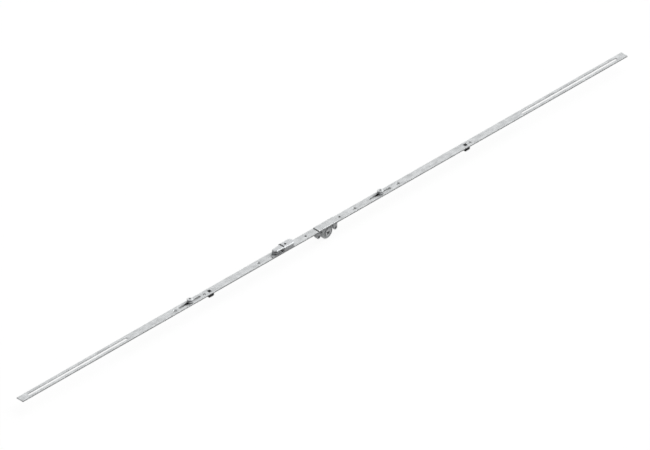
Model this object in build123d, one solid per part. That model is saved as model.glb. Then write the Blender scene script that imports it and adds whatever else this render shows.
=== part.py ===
from build123d import *
from math import atan2, cos, pi, radians, sin, sqrt, tan
import os

# Window espagnolette gearbox: a long faceplate let into the edge of a sash, with a drive rod
# sliding under it, moved by a rack and a pinion that the window handle's square spindle turns.
# Millimetres. X runs along the faceplate, Y through the sash towards the far side, Z out of
# the sash. The origin is on the spindle axis, midway across the faceplate.

# Faceplate
plate_length = 1550.0
plate_width = 16.0
plate_thick = 2.4
plate_edge_round = 0.4
punch_edge_break = 0.2
backset = 15.0
end_slot_margin = 20.0
end_slot_start = 505.0
end_slot_width = 5.6
screw_places = (-384.0, -311.0, -172.0, 73.5, 185.5, 371.0)
screw_hole_radius = 2.1
screw_head_radius = 3.9
locating_hole_places = (-51.5, 35.0)
locating_hole_radius = 2.2

# Cover plate over the gearbox
cover_start = -24.0
cover_end = 25.0
cover_thick = 1.4
cover_bevel_width = 1.0
cover_bevel_height = 0.8
cover_lip_thick = 1.0
cover_lip_depth = 1.6
cover_lip_margin = 1.2
cover_slot_gap = 1.6

# Drive rod, made of a rack between a left and a right rod
rod_side_margin = 3.0
rod_thick = 2.4
rod_gap = 0.4
rod_end_gap = 25.0
rod_slot_spare = 9.8
rod_slot_width = 6.0
screw_slot_width = 4.4
rod_hook_hole_radius = 2.1
rod_hook_margin = 6.0
lap_length = 10.0
lap_rivet_radius = 1.2
lap_rivet_margin = 2.9

# Pinion and rack teeth
tooth_count = 16
pressure_angle = 20.0
tooth_tip_height = 0.85
tooth_root_gap = 0.3
tooth_play = 0.12
pinion_width = 5.0
hub_radius = 6.3
hub_margin = 1.6
hub_edge = 0.4
spindle_socket = 7.1
rack_window_side_gap = 0.4
rack_window_pairs = 5
rack_end_land = 3.24

# Gearbox case, in two halves that meet on the middle plane
pinion_side_gap = 0.3
case_wall = 1.5
case_edge_break = 0.4
case_web_depth = 6.2
case_web_bottom = 2.0
case_rod_gap = 0.3
drum_wall = 0.9
drum_tip_gap = 0.25
drum_groove_inner = 8.6
drum_groove_outer = 11.6
drum_groove_depth = 0.7
drum_groove_start = 3.0
handle_screw_spacing = 43.0
lug_radius = 4.2
lug_hole_radius = 2.8
case_rivet_height = 5.8
case_rivet_radius = 1.5
case_rivet_bore_radius = 1.0
case_rivet_head_radius = 2.0
case_rivet_head_height = 0.6
case_rivet_head_round = 0.3
sight_hole_height = 8.2
sight_hole_radius = 1.1
tab_places = (-15.4, 12.8)
tab_width = 2.0
tab_thick = 1.8
tab_foot = 1.6
tab_gap = 0.05
tab_sink = 0.3

# Running and fitting clearances
running_gap = 0.05
sliding_gap = 0.1

# Rod guides
guide_places = (-297.0, 360.0)
guide_length = 13.0
guide_side_margin = 2.5
guide_bottom = 9.8
guide_round = 2.0
guide_corner_break = 0.5
guide_head_break = 0.3
guide_neck = 5.6
guide_head_width = 6.2
guide_head_rise = 0.5
guide_rod_gap = 0.2

# Locking cams
cam_places = (-347.0, 139.6)
cam_slot_end_gap = 1.0
cam_slot_width = 5.0
cam_shank_radius = 1.9
cam_rivet_radius = 3.2
cam_rivet_height = 0.8
cam_offset = 0.8
cam_core_radius = 3.2
cam_roller_height = 5.6
cam_roller_gap = 0.1
cam_body_radius = 5.2
cam_head_radius = 6.0
cam_head_height = 2.6
cam_head_bevel = 0.4
cam_rim_radius = 4.3
cam_rim_height = 0.6
cam_base_height = 0.5
cam_key = 4.0
cam_key_depth = 4.5
glide_width = 4.8
glide_tail = 8.6
glide_nose = 4.6
glide_rise = 0.4

# Sash lifter
lifter_end = -84.6
lifter_start = -113.4
lifter_roof_start = -110.6
lifter_height = 9.2
lifter_edge_break = 1.5
lifter_peg_margin = 0.7
lifter_roof = 2.1
lifter_back_wall = 1.0
lifter_end_wall = 8.1
pivot_x = -104.3
pivot_y = -0.5
pivot_radius = 3.0
pivot_bore_radius = 2.2
lever_floor_gap = 0.3
lever_arm_height = 6.4
lever_boss_radius = 4.2
lever_boss_gap = 0.3
lever_arm_gap = 0.5
lever_tail_width = 3.6
lever_tail_shift = 2.8
lever_tail_gap = 1.4
lever_swing = 5.0
nose_gap = 0.7
nose_height = 10.4
nose_back_margin = 3.0
nose_front_corner = -131.8
nose_corner_cut = 4.5
nose_end_width = 3.8
nose_end_lean = 0.9
nose_end_slant = 2.6
nose_rib = 1.0
nose_bevel = 1.4
nose_groove_depth = 1.6
nose_grooves = ((1.5, 4.0), (6.4, 8.3))
nose_foot_height = 1.3
nose_foot_round = 2.0
nose_pocket_start = -121.6
nose_pocket_end = -116.2
nose_pocket_bottom = 0.6
nose_pocket_top = 8.2
nose_pocket_depth = 6.0
spring_wire = 0.5
spring_radius = 1.5
spring_turns = 3
spring_inset = 2.6
spring_end_gap = 0.2

# Worked out from the sizes above
plate_top = backset
plate_bottom = plate_top - plate_thick
half_length = plate_length / 2
half_width = plate_width / 2
rod_width = plate_width - 2 * rod_side_margin
rod_end = end_slot_start - rod_end_gap
rod_top = plate_bottom - rod_gap
rod_bottom = rod_top - rod_thick
rod_middle = (rod_top + rod_bottom) / 2
pitch_radius = rod_middle
rod_travel = pitch_radius * pi / 2
screw_slot_length = 2 * rod_travel + screw_slot_width + rod_slot_spare
pivot_slot_length = 2 * rod_travel + rod_slot_width + rod_slot_spare
guide_slot_length = 2 * rod_travel + rod_slot_width + guide_neck
tooth_pitch = 2 * pi * pitch_radius / tooth_count
lap_start = (rack_window_pairs + 0.5) * tooth_pitch + rack_end_land
tip_radius = pitch_radius + tooth_tip_height
root_radius = pitch_radius - rod_thick / 2 - tooth_root_gap
cavity_radius = tip_radius + drum_tip_gap
drum_radius = cavity_radius + drum_wall
case_depth = pinion_width + 2 * (pinion_side_gap + case_wall)
hub_reach = half_width - hub_margin
case_top = rod_bottom - case_rod_gap
lug_place = handle_screw_spacing / 2
case_half_length = lug_place + lug_radius
cover_top = plate_top + cover_thick
case_rivet_place = (lug_place - lug_radius + drum_radius) / 2
guide_width = plate_width - 2 * guide_side_margin
cover_lip_width = plate_width - 2 * cover_lip_margin
cam_slot_length = 2 * (rod_travel + glide_tail + cam_slot_end_gap)
lifter_top = plate_top + lifter_height
pocket_front = pivot_y - lever_boss_radius - lever_boss_gap
lifter_front_wall = pocket_front + half_width
lifter_peg_radius = lifter_front_wall / 2 - lifter_peg_margin
pocket_back = half_width - lifter_back_wall
pocket_end = lifter_end - lifter_end_wall
lever_bottom = plate_top + lever_floor_gap
arm_top = lever_bottom + lever_arm_height
nose_end = lifter_start - nose_gap
nose_front = -half_width
nose_back = half_width - nose_back_margin
nose_top = plate_top + nose_height
arm_front = pocket_front + lever_arm_gap
arm_back = nose_back - nose_groove_depth
tail_end = pocket_end - lever_tail_gap
tail_front = pivot_y + lever_tail_shift - lever_tail_width / 2
spring_x = tail_end - spring_inset
past = 1.0


def block(x0, x1, y0, y1, z0, z1):
    """A box between two opposite corners."""
    middle = Pos((x0 + x1) / 2, (y0 + y1) / 2, (z0 + z1) / 2)
    return middle * Box(abs(x1 - x0), abs(y1 - y0), abs(z1 - z0))


def disc(x, z, radius, y0, y1):
    """A round bar along Y."""
    return Pos(x, (y0 + y1) / 2, z) * Rot(90, 0, 0) * Cylinder(radius, abs(y1 - y0))


def post(x, y, radius, z0, z1):
    """A round bar along Z."""
    return Pos(x, y, (z0 + z1) / 2) * Cylinder(radius, abs(z1 - z0))


def slot(x, y, length, width, z0, z1):
    """A round-ended bar along X, as high as z0 to z1."""
    return extrude(Pos(x, y, z0) * SlotOverall(length, width), z1 - z0)


def punched(outline):
    """What a punch takes out of the faceplate: the outline, widening at the outer face."""
    straight = extrude(Pos(0, 0, plate_bottom - past) * outline, plate_thick + past)
    edge = extrude(Pos(0, 0, plate_top - punch_edge_break) * outline, punch_edge_break + past, taper=-45)
    return straight + edge


def write(name, piece):
    """Names the piece and writes it as its own STEP file."""
    piece.label = name
    export_step(piece, os.path.join("parts", name + ".step"))


def cut_tab_notches(piece, low, high):
    """Cuts the edge notches that the case's tabs come up through."""
    notch = tab_width / 2 + tab_gap
    for x in tab_places:
        for side in (-1, 1):
            piece -= block(x - notch, x + notch, side * (half_width - tab_thick - tab_gap),
                           side * (half_width + past), low - past, high + past)
    return piece


def make_faceplate():
    """Zinc-plated steel strip, punched for screws, cams, guides and the gearbox."""
    plate = block(-half_length, half_length, -half_width, half_width, plate_bottom, plate_top)
    top_edges = plate.edges().filter_by(Axis.X).group_by(Axis.Z)[-1]
    plate = fillet(top_edges, plate_edge_round)
    end_slot_length = half_length - end_slot_margin - end_slot_start
    for side in (-1, 1):
        middle = side * (end_slot_start + end_slot_length / 2)
        plate -= punched(Pos(middle, 0) * SlotOverall(end_slot_length, end_slot_width))
    for x in cam_places:
        plate -= punched(Pos(x, 0) * SlotOverall(cam_slot_length, cam_slot_width))
    head_depth = screw_head_radius - screw_hole_radius
    countersink = Cone(screw_hole_radius, screw_head_radius, head_depth)
    for x in screw_places:
        plate -= post(x, 0, screw_hole_radius, plate_bottom - past, plate_top + past)
        plate -= Pos(x, 0, plate_top - head_depth / 2) * countersink
    for x in locating_hole_places:
        plate -= punched(Pos(x, 0) * Circle(locating_hole_radius))
    square = guide_head_width + 2 * sliding_gap
    for x in guide_places:
        plate -= punched(Pos(x, 0) * Rectangle(square, square))
    slot_side = cover_lip_width / 2 + sliding_gap
    for end, inwards in ((cover_start, 1), (cover_end, -1)):
        plate -= block(end - inwards * cover_slot_gap, end + inwards * (cover_lip_thick + sliding_gap),
                       -slot_side, slot_side, plate_bottom - past, plate_top + past)
    plate = cut_tab_notches(plate, plate_bottom, plate_top)
    plate -= post(pivot_x, pivot_y, pivot_radius, plate_bottom - past, plate_top + past)
    for x, y in lifter_peg_places():
        plate -= post(x, y, lifter_peg_radius, plate_bottom - past, plate_top + past)
    return plate


def make_cover_plate():
    """Steel cover over the gearbox: bevelled along both sides, its ends bent into cross slots."""
    side = half_width - cover_bevel_width
    low = cover_top - cover_bevel_height
    outline = Polyline((-half_width, plate_top), (half_width, plate_top), (half_width, low),
                       (side, cover_top), (-side, cover_top), (-half_width, low), close=True)
    cover = Pos(cover_start, 0, 0) * extrude(Plane.YZ * make_face(outline), cover_end - cover_start)
    for end, inwards in ((cover_start, 1), (cover_end, -1)):
        cover += block(end, end + inwards * cover_lip_thick, -cover_lip_width / 2, cover_lip_width / 2,
                       plate_top - cover_lip_depth, plate_top + cover_thick / 2)
    return cut_tab_notches(cover, plate_top, cover_top)


def rod_openings():
    """Where the rod is slotted: it slides past the screws and the necks of the guides."""
    openings = [slot(pivot_x, 0, pivot_slot_length, rod_slot_width, rod_bottom - past, rod_top + past)]
    for x in screw_places:
        openings.append(slot(x, 0, screw_slot_length, screw_slot_width, rod_bottom - past, rod_top + past))
    for x in guide_places:
        openings.append(slot(x, 0, guide_slot_length, rod_slot_width, rod_bottom - past, rod_top + past))
    return openings


def make_rod(side):
    """Flat steel rod from the rack to one end; its inner end is half as thick, for the lap."""
    inner = lap_start + running_gap
    rod = block(side * inner, side * rod_end, -rod_width / 2, rod_width / 2, rod_bottom, rod_top)
    rod -= block(side * (inner - past), side * (lap_start + lap_length + running_gap),
                 -rod_width, rod_width, rod_middle, rod_top + past)
    for opening in rod_openings():
        rod -= opening
    for x in cam_places:
        rod -= post(x, 0, cam_shank_radius + running_gap, rod_bottom - past, rod_top + past)
    hook_x = side * (rod_end - rod_hook_margin)
    rod -= post(hook_x, 0, rod_hook_hole_radius, rod_bottom - past, rod_top + past)
    for rivet in lap_rivets():
        rod -= rivet
    return rod


def lap_rivets():
    """Two flush rivets through each lap of rack and rod."""
    first = lap_start + lap_rivet_margin
    second = lap_start + lap_length - lap_rivet_margin
    return [post(side * x, 0, lap_rivet_radius, rod_bottom, rod_top)
            for side in (-1, 1) for x in (first, second)]


def make_rack():
    """Toothed middle of the drive rod: tapered windows leave straight-sided rack teeth."""
    rack = block(-lap_start, lap_start, -rod_width / 2, rod_width / 2, rod_bottom, rod_top)
    rack += block(-lap_start - lap_length, lap_start + lap_length,
                  -rod_width / 2, rod_width / 2, rod_middle, rod_top)
    slope = tan(radians(pressure_angle))
    middle_half = tooth_pitch / 4 + tooth_play / 2
    low = rod_bottom - past
    high = rod_top + past
    low_half = middle_half + slope * (rod_middle - low)
    high_half = middle_half - slope * (high - rod_middle)
    window_side = pinion_width / 2 + rack_window_side_gap
    for number in range(-rack_window_pairs, rack_window_pairs + 1):
        x = number * tooth_pitch
        outline = Polyline((x - low_half, low), (x + low_half, low),
                           (x + high_half, high), (x - high_half, high), close=True)
        window = extrude(Plane.XZ * make_face(outline), window_side, both=True)
        rack -= window
    for rivet in lap_rivets():
        rack -= rivet
    return rack


def make_pinion():
    """Pinion with a square socket through it and a round hub on each side."""
    base_radius = pitch_radius * cos(radians(pressure_angle))
    half_tooth = pi / (2 * tooth_count) - tooth_play / (2 * pitch_radius)
    involute_at_pitch = tan(radians(pressure_angle)) - radians(pressure_angle)

    def flank_point(radius):
        turn = sqrt((radius / base_radius) ** 2 - 1)
        angle = half_tooth + involute_at_pitch - (turn - atan2(turn, 1))
        return (radius * sin(angle), radius * cos(angle))

    foot_x, foot_z = flank_point(base_radius)
    waist_x, waist_z = flank_point((base_radius + tip_radius) / 2)
    tip_x, tip_z = flank_point(tip_radius)
    sunk = root_radius - past
    foot_angle = atan2(foot_x, foot_z)
    root_x = sunk * sin(foot_angle)
    root_z = sunk * cos(foot_angle)
    tooth_line = [
        Line((-root_x, root_z), (-foot_x, foot_z)),
        ThreePointArc((-foot_x, foot_z), (-waist_x, waist_z), (-tip_x, tip_z)),
        ThreePointArc((-tip_x, tip_z), (0, tip_radius), (tip_x, tip_z)),
        ThreePointArc((tip_x, tip_z), (waist_x, waist_z), (foot_x, foot_z)),
        Line((foot_x, foot_z), (root_x, root_z)),
        Line((root_x, root_z), (-root_x, root_z)),
    ]
    tooth = extrude(Plane.XZ * make_face(Curve() + tooth_line), pinion_width / 2, both=True)
    pinion = disc(0, 0, root_radius, -pinion_width / 2, pinion_width / 2)
    for number in range(tooth_count):
        pinion += Rot(0, number * 360 / tooth_count, 0) * tooth
    hub = disc(0, 0, hub_radius, -hub_reach, hub_reach)
    rims = hub.edges().filter_by(GeomType.CIRCLE)
    pinion += chamfer(rims, hub_edge)
    half = spindle_socket / 2
    pinion -= block(-half, half, -hub_reach - past, hub_reach + past, -half, half)
    return pinion


def case_boss(x, radius, depth):
    """Round-bottomed boss of the case, as for the drum and the lugs, with its outer rim broken."""
    straight = block(x - radius, x + radius, 0, depth, 0, case_top)
    sides = straight.edges().filter_by(Axis.Z).group_by(Axis.Y)[-1]
    straight = chamfer(sides, case_edge_break)
    bottom = disc(x, 0, radius, 0, depth)
    rim = bottom.edges().filter_by(GeomType.CIRCLE).sort_by(Axis.Y)[-1]
    bottom = chamfer(rim, case_edge_break)
    bottom -= block(x - radius, x + radius, -past, depth + past, 0, radius + past)
    return straight + bottom


def make_case_half(side):
    """Die-cast half of the gearbox: drum, web, two screw lugs and tabs for the faceplate."""
    outer = case_depth / 2
    web = case_web_depth / 2
    half = block(-case_half_length, case_half_length, 0, web, case_web_bottom, case_top)
    half += case_boss(0, drum_radius, outer)
    for x in (-lug_place, lug_place):
        half += case_boss(x, lug_radius, outer)
    groove = disc(0, 0, drum_groove_outer, outer - drum_groove_depth, outer + past)
    groove -= disc(0, 0, drum_groove_inner, outer - drum_groove_depth - past, outer + 2 * past)
    groove -= block(-drum_radius, drum_groove_start, 0, outer + 2 * past, -drum_radius, drum_radius)
    half -= groove
    half -= disc(0, 0, cavity_radius, -past, outer - case_wall)
    half -= disc(0, 0, hub_radius + running_gap, -past, outer + past)
    half -= disc(0, sight_hole_height, sight_hole_radius, -past, outer + past)
    for x in (-lug_place, lug_place):
        half -= disc(x, 0, lug_hole_radius, -past, outer + past)
    for x in (-case_rivet_place, case_rivet_place):
        half -= disc(x, case_rivet_height, case_rivet_radius, -past, outer + past)
        half -= disc(x, case_rivet_height, case_rivet_head_radius + running_gap, web, outer + past)
    for x in tab_places:
        foot = block(x - tab_width / 2, x + tab_width / 2, web - past, half_width,
                     case_top - tab_foot, case_top)
        leg = block(x - tab_width / 2, x + tab_width / 2, half_width - tab_thick, half_width,
                    case_top - past, cover_top - tab_sink)
        half += foot + leg
    if side < 0:
        half = mirror(half, about=Plane.XZ)
    return half


def make_case_rivets():
    """Two hollow rivets that hold the case halves together."""
    web = case_web_depth / 2
    rivets = []
    for x in (-case_rivet_place, case_rivet_place):
        rivet = disc(x, case_rivet_height, case_rivet_radius, -web, web)
        for side in (-1, 1):
            head = disc(x, case_rivet_height, case_rivet_head_radius,
                        side * web, side * (web + case_rivet_head_height))
            rims = head.edges().filter_by(GeomType.CIRCLE).sort_by(Axis.Y)
            rivet += fillet(rims[-1] if side > 0 else rims[0], case_rivet_head_round)
        rivet -= disc(x, case_rivet_height, case_rivet_bore_radius, -case_depth, case_depth)
        rivets.append(rivet)
    return Compound(children=rivets)


def make_guide(x):
    """Black plastic guide: a foot under the rod, a neck through its slot and a snap head."""
    foot_top = rod_bottom - guide_rod_gap
    foot = block(x - guide_length / 2, x + guide_length / 2, -guide_width / 2, guide_width / 2,
                 plate_top - guide_bottom, foot_top)
    low_edges = foot.edges().filter_by(Axis.Y).group_by(Axis.Z)[0]
    foot = fillet(low_edges, guide_round)
    foot = chamfer(foot.edges().group_by(Axis.Z)[-1].filter_by(Axis.X), guide_corner_break)
    half = guide_neck / 2
    neck = block(x - half, x + half, -half, half, foot_top - past, plate_top)
    half = guide_head_width / 2
    head = block(x - half, x + half, -half, half, plate_bottom, plate_top + guide_head_rise)
    return foot + neck + chamfer(head.edges().group_by(Axis.Z)[-1], guide_head_break)


def make_cam_pin(x):
    """Steel cam pin: riveted shank, off-centre core with a rim, and a hexagon key socket."""
    core_x = x + cam_offset
    core_bottom = plate_top + glide_rise + cam_roller_gap
    roller_bottom = core_bottom + cam_base_height
    rim_bottom = roller_bottom + cam_roller_height + cam_roller_gap
    top = rim_bottom + cam_rim_height
    rivet_top = rod_bottom - running_gap
    pin = post(x, 0, cam_rivet_radius, rivet_top - cam_rivet_height, rivet_top)
    pin += post(x, 0, cam_shank_radius, rivet_top - cam_rivet_height, core_bottom + past)
    pin += post(core_x, 0, cam_rim_radius, core_bottom, roller_bottom - cam_roller_gap)
    pin += post(core_x, 0, cam_core_radius, core_bottom, top)
    pin += post(core_x, 0, cam_rim_radius, rim_bottom, top)
    key = extrude(Pos(core_x, 0, top - cam_key_depth) * RegularPolygon(cam_key / 2, 6, major_radius=False),
                  cam_key_depth + past)
    return pin - key


def make_cam_roller(x):
    """Hardened roller that turns on the pin's core: a plain body and a wider bevelled head."""
    core_x = x + cam_offset
    bottom = plate_top + glide_rise + cam_roller_gap + cam_base_height
    top = bottom + cam_roller_height
    head = post(core_x, 0, cam_head_radius, top - cam_head_height, top)
    head = chamfer(head.edges().filter_by(GeomType.CIRCLE), cam_head_bevel)
    roller = head + post(core_x, 0, cam_body_radius, bottom, top - cam_head_height / 2)
    return roller - post(core_x, 0, cam_core_radius + running_gap, bottom - past, top + past)


def make_cam_glide(x):
    """Black plastic glide that rides with the cam and fills the faceplate's slot beside it."""
    length = glide_tail + glide_nose
    glide = slot(x + (glide_nose - glide_tail) / 2, 0, length, glide_width, rod_top, plate_top + glide_rise)
    return glide - post(x, 0, cam_shank_radius + running_gap, rod_top - past, plate_top + glide_rise + past)


def lifter_peg_places():
    """Two cast pegs that are staked in the faceplate, one near each end of the housing."""
    inset = lifter_front_wall / 2
    return ((lifter_end - lifter_end_wall / 2, 0), (lifter_start + inset, -half_width + inset))


def make_lifter_base():
    """Die-cast housing of the sash lifter: round at one end, open for the lever's arm at the other."""
    round_middle = lifter_end - half_width
    base = block(lifter_start, round_middle, -half_width, half_width, plate_top, lifter_top)
    base += post(round_middle, 0, half_width, plate_top, lifter_top)
    start_edge = base.edges().filter_by(Axis.Y).group_by(Axis.Z)[-1].sort_by(Axis.X)[0]
    top_edges = base.edges().group_by(Axis.Z)[-1] - ShapeList([start_edge])
    base = chamfer(top_edges, lifter_edge_break)
    base -= block(lifter_start - past, pocket_end, pocket_front, pocket_back,
                  plate_top - past, lifter_top - lifter_roof)
    base -= block(lifter_start - past, lifter_roof_start, pocket_front, pocket_back,
                  plate_top - past, lifter_top + past)
    base -= post(pivot_x, pivot_y, pivot_radius, plate_top - past, lifter_top + past)
    for x, y in lifter_peg_places():
        base += post(x, y, lifter_peg_radius, plate_bottom, plate_top + past)
    return base


def nose_outline():
    """The nose seen from above: its front corner cut off, its end leaning, its back tapered."""
    cut_end = nose_front_corner - nose_corner_cut
    lean_end = cut_end - nose_end_lean
    cut_side = nose_front + nose_corner_cut
    lean_side = cut_side + nose_end_width
    slant_end = (lean_end + nose_end_slant, lean_side + nose_end_slant)
    return Polyline((nose_end, nose_back), slant_end, (lean_end, lean_side), (cut_end, cut_side),
                    (nose_front_corner, nose_front), (nose_end, nose_front), close=True)


def make_lifter_lever():
    """Steel lever of the lifter: a grooved nose on a pointed foot, an arm, a boss and a tail."""
    nose = extrude(Pos(0, 0, lever_bottom) * make_face(nose_outline()), nose_top - lever_bottom)
    nose = chamfer(nose.edges().group_by(Axis.Z)[-1], nose_bevel)
    depth = nose_groove_depth
    corner = nose_front_corner + depth * tan(radians(22.5))
    rib = nose_front_corner - nose_corner_cut + nose_rib
    outline = Polyline((rib, nose_front - past), (rib, nose_front + depth + corner - rib),
                       (corner, nose_front + depth), (nose_end + past, nose_front + depth),
                       (nose_end + past, nose_front - past), close=True)
    for low, high in nose_grooves:
        nose -= extrude(Pos(0, 0, plate_top + low) * make_face(outline), high - low)
    nose -= block(nose_pocket_start, nose_pocket_end, nose_front - past, nose_front + nose_pocket_depth,
                  plate_top + nose_pocket_bottom, plate_top + nose_pocket_top)
    slant_run = nose_corner_cut + nose_end_width + nose_end_slant
    slant_start = nose_front_corner - nose_end_lean - 2 * nose_corner_cut - nose_end_width
    outline = Polyline((slant_start, nose_front), (nose_front_corner, nose_front),
                       (nose_front_corner, nose_front + slant_run),
                       (slant_start + slant_run, nose_front + slant_run), close=True)
    foot_height = plate_top + nose_foot_height - lever_bottom
    foot = extrude(Pos(0, 0, lever_bottom) * make_face(outline), foot_height)
    foot = fillet(foot.edges().filter_by(Axis.Z).sort_by(Axis.X)[0], nose_foot_round)
    arm = block(nose_end - past, pivot_x, arm_front, arm_back, lever_bottom, arm_top)
    boss = post(pivot_x, pivot_y, lever_boss_radius, lever_bottom, arm_top)
    tail = block(pivot_x, tail_end, tail_front, tail_front + lever_tail_width, lever_bottom, arm_top)
    lever = nose + foot + arm + boss + tail
    return lever - post(pivot_x, pivot_y, pivot_radius + running_gap, lever_bottom - past, arm_top + past)


def make_lifter_pivot():
    """Hollow rivet that the lever turns on; a fixing screw passes through it."""
    pivot = post(pivot_x, pivot_y, pivot_radius, plate_bottom, lifter_top)
    return pivot - post(pivot_x, pivot_y, pivot_bore_radius, plate_bottom - past, lifter_top + past)


def make_lifter_spring():
    """Coil spring between the housing's front wall and the lever's tail."""
    swing_room = (tail_end - pivot_x) * sin(radians(lever_swing))
    start = pocket_front + spring_end_gap + spring_wire / 2
    length = tail_front - swing_room - spring_end_gap - spring_wire / 2 - start
    path = Helix(length / spring_turns, length, spring_radius)
    wire = sweep(Plane(path @ 0, z_dir=path % 0) * Circle(spring_wire / 2), path)
    middle_z = (lever_bottom + arm_top) / 2
    return Pos(spring_x, start, middle_z) * Rot(-90, 0, 0) * wire


def main():
    os.makedirs("parts", exist_ok=True)
    write("faceplate", make_faceplate())
    write("cover_plate", make_cover_plate())
    write("rod_left", make_rod(-1))
    write("rod_right", make_rod(1))
    write("rack", make_rack())
    write("lap_rivets", Compound(children=lap_rivets()))
    write("pinion", make_pinion())
    write("case_front", make_case_half(-1))
    write("case_back", make_case_half(1))
    write("case_rivets", make_case_rivets())
    for name, x in zip(("left", "right"), guide_places):
        write("rod_guide_" + name, make_guide(x))
    for name, x in zip(("left", "right"), cam_places):
        write("cam_pin_" + name, make_cam_pin(x))
        write("cam_roller_" + name, make_cam_roller(x))
        write("cam_glide_" + name, make_cam_glide(x))
    write("lifter_base", make_lifter_base())
    write("lifter_lever", make_lifter_lever())
    write("lifter_pivot", make_lifter_pivot())
    write("lifter_spring", make_lifter_spring())
    print("rod travel for a quarter turn", round(rod_travel, 3), "pitch radius", pitch_radius)


main()
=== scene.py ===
import bpy
from math import cos, radians, sin
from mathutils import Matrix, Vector


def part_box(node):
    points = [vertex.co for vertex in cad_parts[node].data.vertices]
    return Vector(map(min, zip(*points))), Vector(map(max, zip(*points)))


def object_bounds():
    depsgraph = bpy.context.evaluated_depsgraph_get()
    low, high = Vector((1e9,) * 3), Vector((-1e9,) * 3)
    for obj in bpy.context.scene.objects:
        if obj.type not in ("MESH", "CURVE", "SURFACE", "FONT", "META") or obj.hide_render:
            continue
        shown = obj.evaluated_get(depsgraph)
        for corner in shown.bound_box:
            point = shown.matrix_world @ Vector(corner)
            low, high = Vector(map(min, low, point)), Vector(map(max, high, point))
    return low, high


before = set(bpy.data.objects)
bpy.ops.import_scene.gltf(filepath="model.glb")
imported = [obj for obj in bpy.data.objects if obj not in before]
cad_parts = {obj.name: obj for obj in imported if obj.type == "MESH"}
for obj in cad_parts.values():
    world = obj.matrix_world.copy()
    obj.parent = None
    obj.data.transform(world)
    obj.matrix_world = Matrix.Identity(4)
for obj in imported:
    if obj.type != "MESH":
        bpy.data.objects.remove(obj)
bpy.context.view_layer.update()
mm = 0.001

# Drive rod: two flat steel rods and a toothed rack between them, riveted together. They
# are blanked from cold-rolled strip, zinc plated and clear passivated, and slide under
# the faceplate. The plating is satin, with faint clouds and the fine lines of the rolls.

# The real lines are finer. They are drawn 0.25 mm apart, so that they show close by.
roll_line = (60 * mm, 0.25 * mm, 0.25 * mm)
roll_line_depth = 0.02 * mm
plating_cloud = (14 * mm, 7 * mm, 7 * mm)

# Shade is painted into holes and corners with walls this near: their colour and metalness are
# lowered.
painted_shade_reach = 4 * mm

# Light is painted in near the long edges: a painted highlight on their bevels and a painted shade
# on their upright sides. The zone is measured from the edge.
painted_light_zone = 1.2 * mm
bevel_highlight_zinc = "#A8AAAB"
strip_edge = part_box("faceplate")[1].y - painted_light_zone

# Parts of a surface's normal: how far a side rises, how far a 45-degree bevel rises and
# how near to that a surface still counts, and how far a surface looks to the side.
side_rise = (0.1, 0.4)
bevel_rise = 0.7
bevel_near = (0.12, 0.22)
sideways = (0.4, 0.6)

# A noise texture keeps mostly inside this span.
noise_span = (0.3, 0.7)

# A Mix node's sockets for colours have numbers, since their names are repeated in it.
mix_factor, mix_first, mix_second, mix_colour = 0, 6, 7, 2


def linear(code):
    """An sRGB hex colour as linear RGBA."""
    values = [int(code[i:i + 2], 16) / 255 for i in (1, 3, 5)]
    return [v / 12.92 if v <= 0.04045 else ((v + 0.055) / 1.055) ** 2.4 for v in values] + [1.0]


def add_node(holder, kind, inputs=None, **settings):
    """Adds a node with its settings. An input is a value, the socket that feeds it, or a
    node whose first socket feeds it."""
    node = holder.node_tree.nodes.new(kind)
    for name, value in settings.items():
        setattr(node, name, value)
    for socket, value in (inputs or {}).items():
        if isinstance(value, bpy.types.Node):
            value = value.outputs[0]
        if isinstance(value, bpy.types.NodeSocket):
            holder.node_tree.links.new(value, node.inputs[socket])
        else:
            node.inputs[socket].default_value = value
    return node


def start_material(name):
    """A material with an empty node tree."""
    material = bpy.data.materials.new(name)
    material.use_nodes = True
    material.node_tree.nodes.clear()
    return material


def random_marks(material, size, detail):
    """Random marks of a real size: their lengths in metres along X, Y and Z."""
    place = add_node(material, "ShaderNodeTexCoord")
    cells = add_node(material, "ShaderNodeMapping", {
        "Vector": place.outputs["Object"],
        "Scale": [1 / length for length in size]})
    return add_node(material, "ShaderNodeTexNoise", {
        "Vector": cells, "Scale": 1.0, "Detail": detail})


def tinted(material, marks, dark, light, span=noise_span):
    """The colour of the marks, between two sRGB hex colours."""
    level = add_node(material, "ShaderNodeMapRange", {
        "Value": marks, "From Min": span[0], "From Max": span[1]})
    mixed = add_node(material, "ShaderNodeMix", {
        mix_factor: level, mix_first: linear(dark), mix_second: linear(light)},
        data_type="RGBA")
    return mixed.outputs[mix_colour]


def shade_painted_in_holes(material, colour, metallic, darkest, opening):
    """Colour and metalness with painted shade in the holes and corners. From the first openness in
    opening to the second, the colour rises from its share darkest to all of it, and metal from 0."""
    walls = add_node(material, "ShaderNodeAmbientOcclusion", {"Distance": painted_shade_reach}, samples=8)
    clear = add_node(material, "ShaderNodeMapRange", {
        "Value": walls.outputs["AO"], "From Min": opening[0], "From Max": opening[1]})
    share = add_node(material, "ShaderNodeMapRange", {"Value": clear, "To Min": darkest})
    hole_shaded = add_node(material, "ShaderNodeVectorMath", {
        "Vector": colour, "Scale": share}, operation="SCALE")
    metal = add_node(material, "ShaderNodeMath", {0: clear, 1: metallic}, operation="MULTIPLY")
    return hole_shaded.outputs["Vector"], metal.outputs["Value"]


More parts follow.
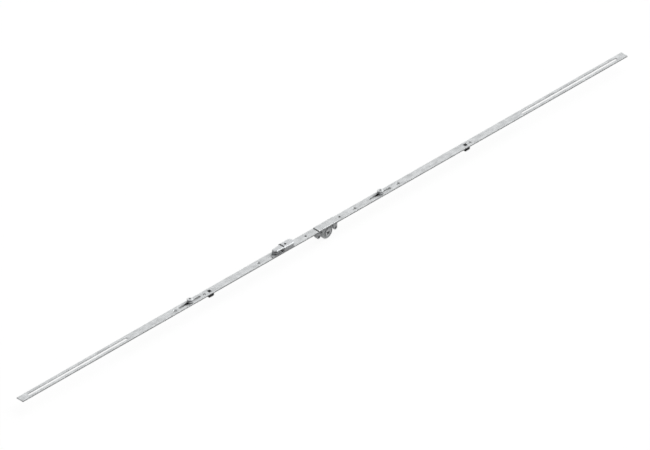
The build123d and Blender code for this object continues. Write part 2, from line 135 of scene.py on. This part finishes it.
def sides_shaded_bevels_lit(material, colour, metal, side, shine, edge):
    """Colour and metalness past the edge, a distance from the middle plane, with light painted in
    by the way each face turns. Upright sides keep their share side of both, a painted shade, and
    sideways bevels get a painted highlight, fully where shine is 1."""
    place = add_node(material, "ShaderNodeTexCoord")
    across = add_node(material, "ShaderNodeSeparateXYZ", {"Vector": place.outputs["Object"]})
    distance = add_node(material, "ShaderNodeMath", {0: across.outputs["Y"]}, operation="ABSOLUTE")
    outer = add_node(material, "ShaderNodeMath", {0: distance, 1: edge}, operation="GREATER_THAN")
    surface = add_node(material, "ShaderNodeNewGeometry")
    normal = add_node(material, "ShaderNodeSeparateXYZ", {"Vector": surface.outputs["True Normal"]})

    upright = add_node(material, "ShaderNodeMapRange", {
        "Value": normal.outputs["Z"], "From Min": side_rise[0], "From Max": side_rise[1],
        "To Min": 1.0 - side, "To Max": 0.0})
    lost = add_node(material, "ShaderNodeMath", {0: upright, 1: outer}, operation="MULTIPLY")
    kept = add_node(material, "ShaderNodeMath", {0: 1.0, 1: lost}, operation="SUBTRACT")
    side_shaded = add_node(material, "ShaderNodeVectorMath", {
        "Vector": colour, "Scale": kept}, operation="SCALE")
    side_shaded_metal = add_node(material, "ShaderNodeMath", {0: metal, 1: kept}, operation="MULTIPLY")

    rise = add_node(material, "ShaderNodeMath", {
        0: normal.outputs["Z"], 1: bevel_rise}, operation="SUBTRACT")
    off_bevel = add_node(material, "ShaderNodeMath", {0: rise}, operation="ABSOLUTE")
    bevelled = add_node(material, "ShaderNodeMapRange", {
        "Value": off_bevel, "From Min": bevel_near[0], "From Max": bevel_near[1],
        "To Min": shine, "To Max": 0.0})
    lean = add_node(material, "ShaderNodeMath", {0: normal.outputs["Y"]}, operation="ABSOLUTE")
    to_side = add_node(material, "ShaderNodeMapRange", {
        "Value": lean, "From Min": sideways[0], "From Max": sideways[1]})
    outward = add_node(material, "ShaderNodeMath", {0: to_side, 1: outer}, operation="MULTIPLY")
    bevel_highlight = add_node(material, "ShaderNodeMath", {
        0: bevelled, 1: outward}, operation="MULTIPLY")

    highlighted = add_node(material, "ShaderNodeMix", {
        mix_factor: bevel_highlight, mix_first: side_shaded, mix_second: linear(bevel_highlight_zinc)}, data_type="RGBA")
    highlighted_metal = add_node(material, "ShaderNodeMath", {
        0: side_shaded_metal, 1: bevel_highlight}, operation="MAXIMUM")
    return highlighted.outputs[mix_colour], highlighted_metal.outputs["Value"]


def finished(material, colour, metal, marks, rough, depth, strength, span=noise_span, gloss=0.5):
    """Ends a material: its roughness and its bumps, a depth in metres, follow the marks."""
    roughness = add_node(material, "ShaderNodeMapRange", {
        "Value": marks, "From Min": span[0], "From Max": span[1],
        "To Min": rough[0], "To Max": rough[1]})
    bumps = add_node(material, "ShaderNodeBump", {
        "Height": marks, "Distance": depth, "Strength": strength})
    shader = add_node(material, "ShaderNodeBsdfPrincipled", {
        "Base Color": colour, "Metallic": metal, "Roughness": roughness,
        "Specular IOR Level": gloss, "Normal": bumps})
    add_node(material, "ShaderNodeOutputMaterial", {"Surface": shader})
    return material


def dress(material, *names):
    """Gives the CAD nodes this material."""
    for name in names:
        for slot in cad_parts[name].material_slots:
            slot.material = material


def zinc_plated_strip(name, dark, light, opening):
    """Rolled steel strip, zinc plated: satin, with lengthwise lines and faint clouds."""
    material = start_material(name)
    lines = random_marks(material, roll_line, detail=3.0)
    clouds = random_marks(material, plating_cloud, detail=4.0)
    colour = tinted(material, clouds, dark, light)
    # Painted shade in the holes and corners and on the outer upright sides, and a painted highlight
    # on the outer bevels.
    colour, metal = shade_painted_in_holes(material, colour, metallic=0.3, darkest=0.15, opening=opening)
    colour, metal = sides_shaded_bevels_lit(material, colour, metal, side=0.3, shine=0.5, edge=strip_edge)
    return finished(material, colour, metal, lines,
                    rough=(0.34, 0.46), depth=roll_line_depth, strength=0.5)


rod_strip = zinc_plated_strip("zinc_plated_rod", "#B4B6B6", "#CCCECE", opening=(0.1, 0.4))
dress(rod_strip, "rod_left", "rod_right", "rack")

# Pinion and gearbox case: zinc alloy, pressure die cast and tumbled, so it is a dull
# mid grey with a fine orange-peel skin and soft mottles where the melt met the die.

cast_skin = (0.5 * mm, 0.5 * mm, 0.5 * mm)
cast_skin_depth = 0.03 * mm
cast_mottle = (4 * mm, 4 * mm, 4 * mm)


def die_cast_zinc(name, dark, light):
    """Dull grey casting with a fine pebbled skin."""
    material = start_material(name)
    skin = random_marks(material, cast_skin, detail=2.0)
    mottles = random_marks(material, cast_mottle, detail=3.0)
    colour = tinted(material, mottles, dark, light)
    # Painted shade: in holes and corners such as the pinion's socket, the colour falls to a
    # twentieth and the metal is taken out.
    colour, metal = shade_painted_in_holes(material, colour, metallic=0.25, darkest=0.05, opening=(0.35, 0.75))
    return finished(material, colour, metal, skin,
                    rough=(0.42, 0.58), depth=cast_skin_depth, strength=0.4)


case_zinc = die_cast_zinc("die_cast_case_zinc", "#A9ABAC", "#B9BBBC")
dress(case_zinc, "case_front", "case_back")
pinion_zinc = die_cast_zinc("die_cast_pinion_zinc", "#BDBFC0", "#CCCDCE")
dress(pinion_zinc, "pinion")

# Rivets: the flush ones of the drive rod and the hollow ones of the case and the lifter.
# They are soft steel, turned or drawn, zinc plated and set in a press, so they are
# smoother than the strip, with fine press marks.

press_mark = (0.3 * mm, 0.3 * mm, 0.3 * mm)
press_mark_depth = 0.01 * mm


def plated_rivet_steel(name, dark, light):
    """Small plated steel part with fine press marks."""
    material = start_material(name)
    press_marks = random_marks(material, press_mark, detail=2.0)
    colour = tinted(material, press_marks, dark, light)
    # Painted shade: the bores of the hollow rivets and the corners round the heads are darkened
    # nearly to black.
    colour, metal = shade_painted_in_holes(material, colour, metallic=0.4, darkest=0.02, opening=(0.5, 0.95))
    return finished(material, colour, metal, press_marks,
                    rough=(0.3, 0.42), depth=press_mark_depth, strength=0.4)


rivet_steel = plated_rivet_steel("plated_rivet_steel", "#9FA1A3", "#B2B4B6")
dress(rivet_steel, "lap_rivets", "case_rivets", "lifter_pivot")

# Faceplate and gearbox cover: the same rolled strip, punched and countersunk, its long
# edges rounded before it was plated. It is a little greyer than the rod.

plate_strip = zinc_plated_strip(
    "zinc_plated_faceplate", "#A4A6A7", "#C3C5C6", opening=(0.45, 0.8))
dress(plate_strip, "faceplate", "cover_plate")

# Rod guides and cam glides: black glass-filled nylon, injection moulded in a
# spark-eroded tool, so the skin is matt and finely grained.

# The real grain is finer. It is drawn this coarse, so that it shows close by.
nylon_grain = (0.18 * mm, 0.18 * mm, 0.18 * mm)
nylon_grain_depth = 0.02 * mm


def moulded_black_nylon(name):
    """Black moulded nylon with the grain of the tool."""
    material = start_material(name)
    grain = random_marks(material, nylon_grain, detail=2.0)
    colour = tinted(material, grain, "#050506", "#0B0B0C")
    return finished(material, colour, 0.0, grain,
                    rough=(0.5, 0.65), depth=nylon_grain_depth, strength=0.5, gloss=0.08)


nylon = moulded_black_nylon("moulded_black_nylon")
dress(nylon, "rod_guide_left", "rod_guide_right", "cam_glide_left", "cam_glide_right")

# Cam pins and their rollers: free-cutting steel, turned on a lathe, hardened and zinc
# plated, so they are bright, with fine rings about each cam's own axis. A dark band
# round the roller's head is a painted dark reflection.

# The tool's rings are drawn coarser than they are, so that they show close by. At this
# scale a wave texture repeats about once in a unit, which is one ring.
ring_step = 0.3 * mm
wave_scale = 0.3
ring_depth = 0.006 * mm
dark_reflection_below_top = 1.4 * mm
dark_reflection_span = (1.0 * mm, 1.4 * mm)


def turned_cam_steel(name, axis, dark_reflection_height):
    """Bright turned steel with rings about its upright axis, and a painted dark reflection in a
    band round the head.
    """
    material = start_material(name)
    place = add_node(material, "ShaderNodeTexCoord")
    centred = add_node(material, "ShaderNodeMapping", {
        "Vector": place.outputs["Object"],
        "Location": (-axis.x / ring_step, -axis.y / ring_step, 0),
        "Scale": [1 / ring_step] * 3})
    rings = add_node(material, "ShaderNodeTexWave", {
        "Vector": centred, "Scale": wave_scale, "Distortion": 0.4, "Detail": 2.0},
        wave_type="RINGS", rings_direction="Z").outputs["Fac"]
    height = add_node(material, "ShaderNodeSeparateXYZ", {"Vector": place.outputs["Object"]})
    above = add_node(material, "ShaderNodeMath", {
        0: height.outputs["Z"], 1: dark_reflection_height}, operation="SUBTRACT")
    off_dark_reflection = add_node(material, "ShaderNodeMath", {0: above}, operation="ABSOLUTE")
    colour = tinted(material, off_dark_reflection, "#515355", "#CDCFD0", span=dark_reflection_span)
    # Painted shade in the holes and corners as well.
    colour, metal = shade_painted_in_holes(material, colour, metallic=0.6, darkest=0.1, opening=(0.1, 0.4))
    return finished(material, colour, metal, rings,
                    rough=(0.2, 0.3), depth=ring_depth, strength=0.4, span=(0, 1))


for side in ("left", "right"):
    low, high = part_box("cam_roller_" + side)
    steel = turned_cam_steel(
        "turned_cam_steel_" + side, (low + high) / 2, high.z - dark_reflection_below_top)
    dress(steel, "cam_roller_" + side, "cam_pin_" + side)

# Sash lifter: housing and lever die cast in zinc and sprayed with a silver lacquer,
# smoother and brighter than the bare case. Its bevels get a painted highlight and its
# upright sides a painted shade.

# The lacquer's flake is drawn coarser than it is, so that it shows close by.
lacquer_flake = (0.12 * mm, 0.12 * mm, 0.12 * mm)
lacquer_flow = (3 * mm, 3 * mm, 3 * mm)
lacquer_flow_depth = 0.03 * mm


def silver_lacquered_zinc(name, dark, light):
    """Smooth silver lacquer with a fine metal flake."""
    material = start_material(name)
    flake = random_marks(material, lacquer_flake, detail=1.0)
    flow = random_marks(material, lacquer_flow, detail=2.0)
    colour = tinted(material, flake, dark, light)
    # Painted shade in the holes and corners and on the upright sides, and a painted highlight on
    # the bevels.
    colour, metal = shade_painted_in_holes(material, colour, metallic=0.25, darkest=0.1, opening=(0.2, 0.65))
    colour, metal = sides_shaded_bevels_lit(material, colour, metal, side=0.7, shine=0.6, edge=0.0)
    return finished(material, colour, metal, flow,
                    rough=(0.32, 0.4), depth=lacquer_flow_depth, strength=0.3)


lifter_silver = silver_lacquered_zinc("silver_lacquered_lifter_zinc", "#B2B4B6", "#BFC1C3")
dress(lifter_silver, "lifter_base", "lifter_lever")

# Lever spring: patented steel wire, drawn, oiled and coiled, and set between the lever
# and the housing. It is dark and smooth.

wire_line = (0.1 * mm, 0.1 * mm, 0.1 * mm)


def drawn_spring_wire(name):
    """Dark oiled wire, with no plating."""
    material = start_material(name)
    draw_lines = random_marks(material, wire_line, detail=1.0)
    roughness = add_node(material, "ShaderNodeMapRange", {
        "Value": draw_lines, "From Min": noise_span[0], "From Max": noise_span[1],
        "To Min": 0.28, "To Max": 0.4})
    shader = add_node(material, "ShaderNodeBsdfPrincipled", {
        "Base Color": tinted(material, draw_lines, "#5E5F62", "#77787B"),
        "Metallic": 1.0, "Roughness": roughness})
    add_node(material, "ShaderNodeOutputMaterial", {"Surface": shader})
    return material


dress(drawn_spring_wire("drawn_spring_wire"), "lifter_spring")

# Floor: a plain pale sheet under the drum, the object's lowest point. What the camera,
# metal and glass see of it is white, less the object's soft shadow.

floor_size = 30
floor_gap = 0.3 * mm
floor_glow = 0.92
white = linear("#FFFFFF")


def directly_seen(holder):
    """1 where the camera, metal or glass sees the holder, and 0 where it lights the object."""
    rays = add_node(holder, "ShaderNodeLightPath")
    mirrored = add_node(holder, "ShaderNodeMath", {
        0: rays.outputs["Is Camera Ray"], 1: rays.outputs["Is Glossy Ray"]},
        operation="MAXIMUM")
    return add_node(holder, "ShaderNodeMath", {
        0: mirrored, 1: rays.outputs["Is Transmission Ray"]}, operation="MAXIMUM")


bpy.ops.object.select_all(action="DESELECT")
bpy.ops.mesh.primitive_plane_add(
    size=floor_size, location=(0, 0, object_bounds()[0].z - floor_gap))
floor = bpy.context.object
floor.name = "floor"
pale_sheet = start_material("pale_floor")
glow = add_node(pale_sheet, "ShaderNodeEmission", {"Color": white, "Strength": floor_glow})
shadowed = add_node(pale_sheet, "ShaderNodeBsdfDiffuse", {"Color": linear("#505050")})
seen_white = add_node(pale_sheet, "ShaderNodeAddShader", {0: glow, 1: shadowed})
grey = add_node(pale_sheet, "ShaderNodeBsdfDiffuse", {"Color": linear("#959595")})
sheet = add_node(pale_sheet, "ShaderNodeMixShader", {
    0: directly_seen(pale_sheet), 1: grey, 2: seen_white})
add_node(pale_sheet, "ShaderNodeOutputMaterial", {"Surface": sheet})
floor.data.materials.append(pale_sheet)

# Light: one large soft lamp high on the right, a weaker one low on the right, and an
# even pale room, which is white where the camera, metal or glass sees it.

room_light = 0.3

studio = bpy.data.worlds.new("studio")
bpy.context.scene.world = studio
studio.use_nodes = True
studio.node_tree.nodes.clear()
room = add_node(studio, "ShaderNodeBackground", {"Color": white, "Strength": room_light})
backdrop = add_node(studio, "ShaderNodeBackground", {"Color": white, "Strength": 1.0})
around = add_node(studio, "ShaderNodeMixShader", {
    0: directly_seen(studio), 1: room, 2: backdrop})
add_node(studio, "ShaderNodeOutputWorld", {"Surface": around})


def add_lamp(name, towards, strength, angle):
    """A far soft lamp that stands in the direction towards, angle degrees wide."""
    light = bpy.data.lights.new(name, "SUN")
    light.energy = strength
    light.angle = radians(angle)
    lamp = bpy.data.objects.new(name, light)
    lamp.rotation_mode = "QUATERNION"
    lamp.rotation_quaternion = Vector(towards).to_track_quat("Z", "Y")
    bpy.context.scene.collection.objects.link(lamp)


add_lamp("key_lamp", towards=(0.6, -0.1, 0.79), strength=2.65, angle=70)
add_lamp("side_lamp", towards=(0.95, -0.2, 0.28), strength=1.0, angle=50)

# Camera: a very long lens far away, so that the view is nearly parallel. It stands 45
# degrees round to the left and 34.83 degrees up, and the picture is a little soft.

azimuth = radians(-45)
elevation = radians(34.83)
lens_mm = 1150.0
sensor_mm = 36.0
nearest_seen = 1.0
farthest_seen = 100.0
picture_width_pixels = 650
pixels_per_metre = 551.5
picture_width = picture_width_pixels / pixels_per_metre
picture_middle = Vector((-1.8 * mm, 0, 14.9 * mm))
softness_pixels = 1.7

back = Vector((sin(azimuth) * cos(elevation), -cos(azimuth) * cos(elevation), sin(elevation)))
camera_data = bpy.data.cameras.new("camera")
camera_data.lens = lens_mm
camera_data.sensor_width = sensor_mm
camera_data.clip_start = nearest_seen
camera_data.clip_end = farthest_seen
camera = bpy.data.objects.new("camera", camera_data)
camera.location = picture_middle + back * (picture_width * lens_mm / sensor_mm)
camera.rotation_mode = "QUATERNION"
camera.rotation_quaternion = back.to_track_quat("Z", "Y")
bpy.context.scene.collection.objects.link(camera)
bpy.context.scene.camera = camera
bpy.context.scene.view_settings.view_transform = "Standard"
bpy.context.scene.cycles.filter_width = softness_pixels
